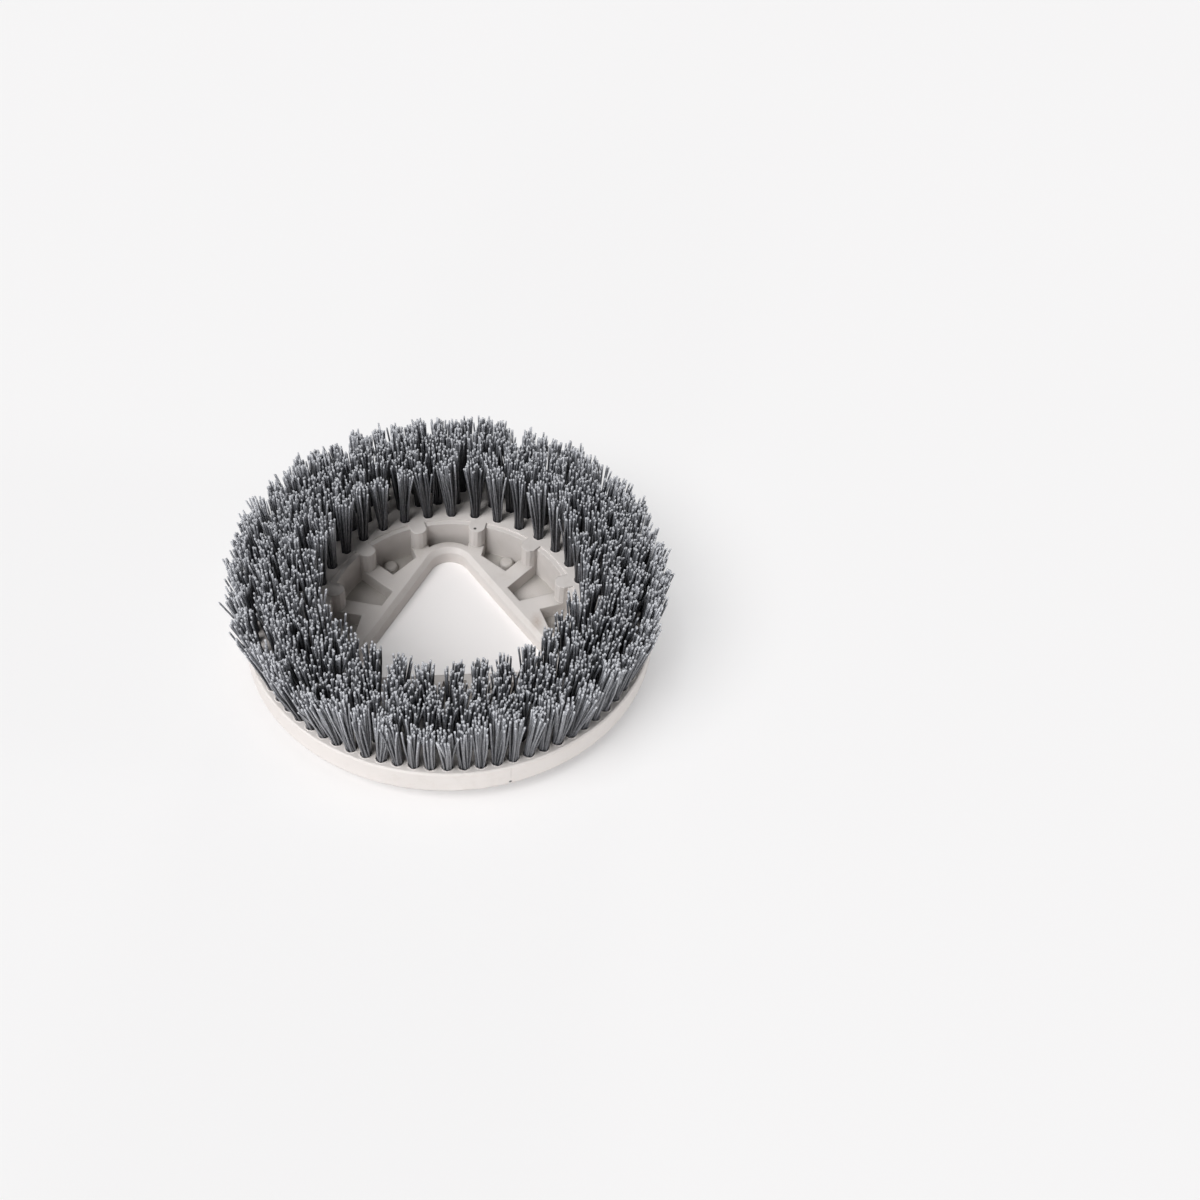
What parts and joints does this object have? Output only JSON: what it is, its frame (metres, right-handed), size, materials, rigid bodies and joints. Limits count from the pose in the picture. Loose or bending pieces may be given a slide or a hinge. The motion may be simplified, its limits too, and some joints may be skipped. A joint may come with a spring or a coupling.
{
  "type": "floor scrubber brush",
  "caption": "Round floor scrubber brush: an off-white moulded disc with rings of grey bristle tufts around a dished, ribbed hub that has a rounded triangular drive opening.",
  "frame": {"origin": "centre of the hub's back face, the lowest face as the brush lies with its bristles up", "axes": "+Z along the disc's axis from the back face to the bristle tips, +Y to one corner of the triangular drive opening"},
  "size_m": [0.3158, 0.3158, 0.0838],
  "materials": {
    "block": "satin moulded polypropylene",
    "bristle": "grit-filled nylon filament"
  },
  "bodies": {
    "root": {"brush_block": "block", "tuft_row_1": "bristle", "tuft_row_2": "bristle", "tuft_row_3": "bristle", "tuft_row_4": "bristle"}
  },
  "joints": []
}
